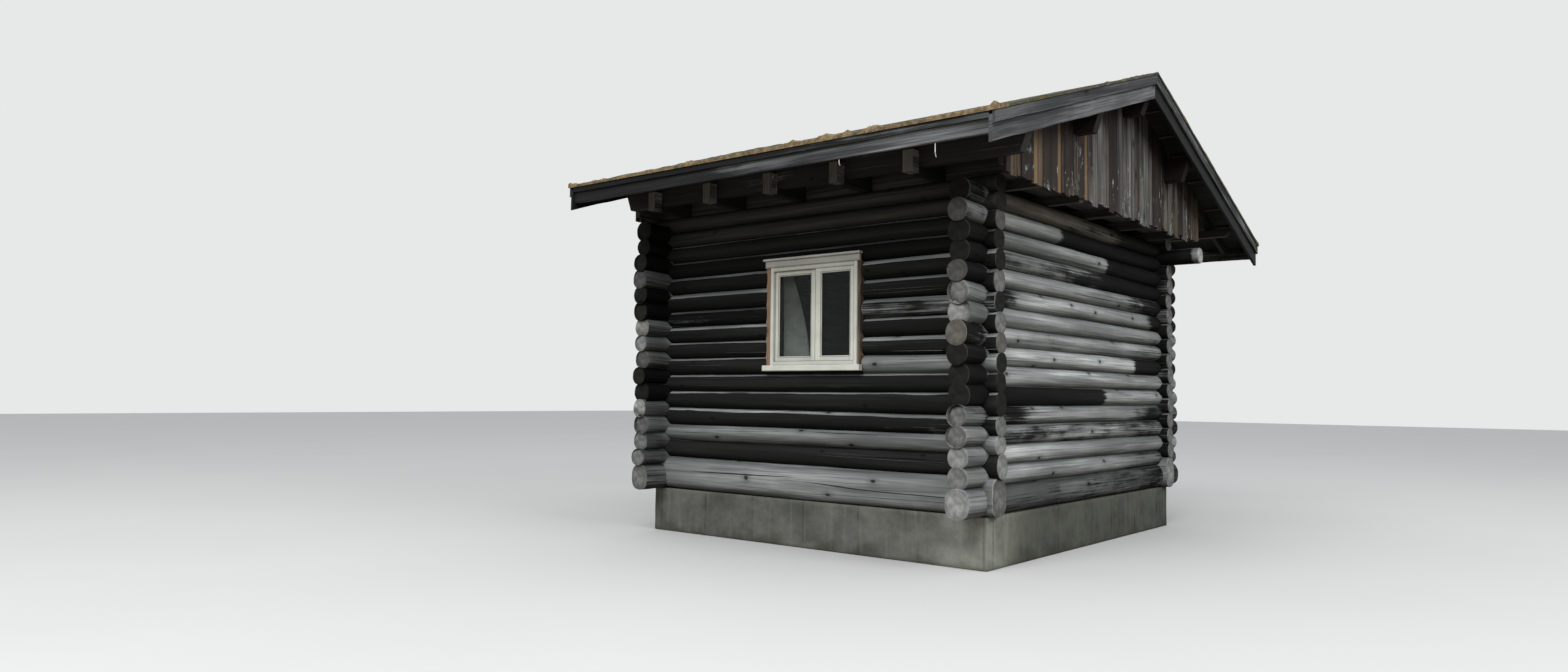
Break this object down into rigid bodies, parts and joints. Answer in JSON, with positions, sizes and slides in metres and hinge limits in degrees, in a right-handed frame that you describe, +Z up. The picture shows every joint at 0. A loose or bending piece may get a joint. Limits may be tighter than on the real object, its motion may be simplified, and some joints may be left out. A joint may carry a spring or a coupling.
{
  "type": "log cabin",
  "caption": "Small one-room log cabin on a concrete foundation, with saddle-notched corners, a low gable roof on purlins, a front window and a rear plank door.",
  "frame": {"origin": "on the ground, below the middle of the roof outline", "axes": "+Z up; +Y from the window wall to the door wall, square to the ridge; +X along the ridge, towards the gable with the deep overhang"},
  "size_m": [4.704, 6.649, 4.5112],
  "materials": {
    "concrete": "poured concrete, stained",
    "stained_logs": "round logs with old dark stain, worn grey on top",
    "weathered_logs": "round logs weathered silver grey",
    "sill_logs": "large hewn logs weathered grey",
    "floor_wood": "bare planed boards",
    "frame_timber": "sawn timber, weathered dark",
    "deck_wood": "sawn sheathing boards, dark",
    "edge_boards": "sawn boards weathered dark grey",
    "gable_cladding": "rough vertical boards, brown and grey",
    "roofing_felt": "mineral felt with moss",
    "window_paint": "cream white",
    "window_wood": "bare brown wood",
    "glass": "clear, slightly dusty",
    "curtain_cloth": "pale grey green cotton",
    "rod_metal": "satin",
    "door_wood": "vertical planks, weathered",
    "iron": "black iron"
  },
  "bodies": {
    "root": {"barge_trims": "edge_boards", "curtain": "curtain_cloth", "curtain_rod": "rod_metal", "door_frame": "door_wood", "door_hinges": "iron", "door_latch": "iron", "door_leaf": "door_wood", "door_threshold": "door_wood", "eave_boards": "deck_wood", "eave_purlins": "frame_timber", "far_barge_boards": "edge_boards", "far_gable_boards": "gable_cladding", "far_gable_even_logs": "weathered_logs", "far_gable_odd_logs": "weathered_logs", "fascia_boards": "edge_boards", "fascia_trims": "edge_boards", "floor_boards": "floor_wood", "floor_joists": "floor_wood", "foundation": "concrete", "front_rafters": "frame_timber", "front_roof_deck": "deck_wood", "front_roofing": "roofing_felt", "front_sill_log": "sill_logs", "front_wall_even_logs": "stained_logs", "front_wall_odd_logs": "stained_logs", "gable_lookouts": "frame_timber", "gable_rails": "frame_timber", "gable_sill_logs": "sill_logs", "left_sash": "window_paint", "mid_purlins": "frame_timber", "near_barge_boards": "edge_boards", "near_gable_boards": "gable_cladding", "near_gable_even_logs": "weathered_logs", "near_gable_odd_logs": "weathered_logs", "rear_rafters": "frame_timber", "rear_roof_deck": "deck_wood", "rear_roofing": "roofing_felt", "rear_sill_log": "sill_logs", "rear_wall_even_logs": "stained_logs", "rear_wall_odd_logs": "stained_logs", "ridge_beam": "frame_timber", "right_sash": "window_paint", "soffit_boards": "deck_wood", "tie_beams": "frame_timber", "window_drip_cap": "window_paint", "window_frame": "window_paint", "window_glass": "glass", "window_head_board": "window_paint", "window_jamb_boards": "window_wood", "window_sill": "window_paint"}
  },
  "joints": []
}
